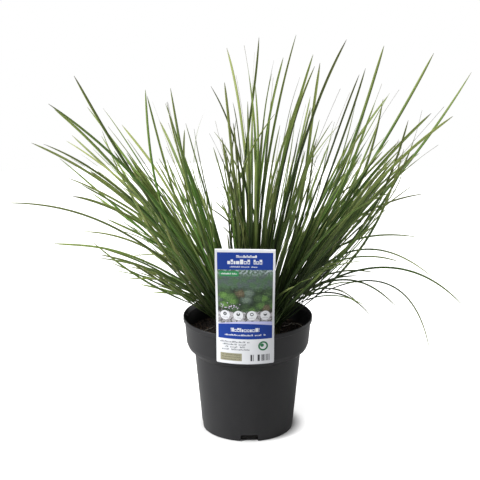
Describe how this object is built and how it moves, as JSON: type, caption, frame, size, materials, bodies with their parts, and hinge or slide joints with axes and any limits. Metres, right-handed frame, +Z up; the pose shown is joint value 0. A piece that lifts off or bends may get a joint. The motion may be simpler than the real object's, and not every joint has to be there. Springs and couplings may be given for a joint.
{
  "type": "potted lomandra",
  "caption": "Mat rush with narrow arching leaves in a round, tapered nursery pot with a deep collar; a tall card label is hooked over the front of the rim.",
  "frame": {"origin": "middle of the pot's underside, on the surface it stands on", "axes": "+Z up along the pot's axis; -Y towards the front, where the label hangs; +X to the front view's right"},
  "size_m": [0.5975, 0.4768, 0.5368],
  "materials": {
    "pot_plastic": "satin",
    "potting_mix": "rough",
    "label_card": "satin",
    "leaf": "satin"
  },
  "bodies": {
    "root": {"plant_label": "label_card", "pot": "pot_plastic", "potting_mix": "potting_mix", "shoot_left_01": "leaf", "shoot_left_02": "leaf", "shoot_left_03": "leaf", "shoot_left_04": "leaf", "shoot_left_05": "leaf", "shoot_left_06": "leaf", "shoot_left_07": "leaf", "shoot_left_08": "leaf", "shoot_left_09": "leaf", "shoot_left_10": "leaf", "shoot_left_11": "leaf", "shoot_left_12": "leaf", "shoot_left_13": "leaf", "shoot_left_14": "leaf", "shoot_left_15": "leaf", "shoot_left_16": "leaf", "shoot_left_17": "leaf", "shoot_left_18": "leaf", "shoot_middle_19": "leaf", "shoot_middle_20": "leaf", "shoot_middle_21": "leaf", "shoot_middle_22": "leaf", "shoot_middle_23": "leaf", "shoot_middle_24": "leaf", "shoot_middle_25": "leaf", "shoot_middle_26": "leaf", "shoot_right_27": "leaf", "shoot_right_28": "leaf", "shoot_right_29": "leaf", "shoot_right_30": "leaf", "shoot_right_31": "leaf", "shoot_right_32": "leaf", "shoot_right_33": "leaf", "shoot_right_34": "leaf", "shoot_right_35": "leaf", "shoot_right_36": "leaf", "shoot_right_37": "leaf", "shoot_right_38": "leaf", "shoot_right_39": "leaf", "shoot_right_40": "leaf", "shoot_right_41": "leaf", "shoot_right_42": "leaf", "shoot_right_43": "leaf", "shoot_right_44": "leaf"}
  },
  "joints": []
}
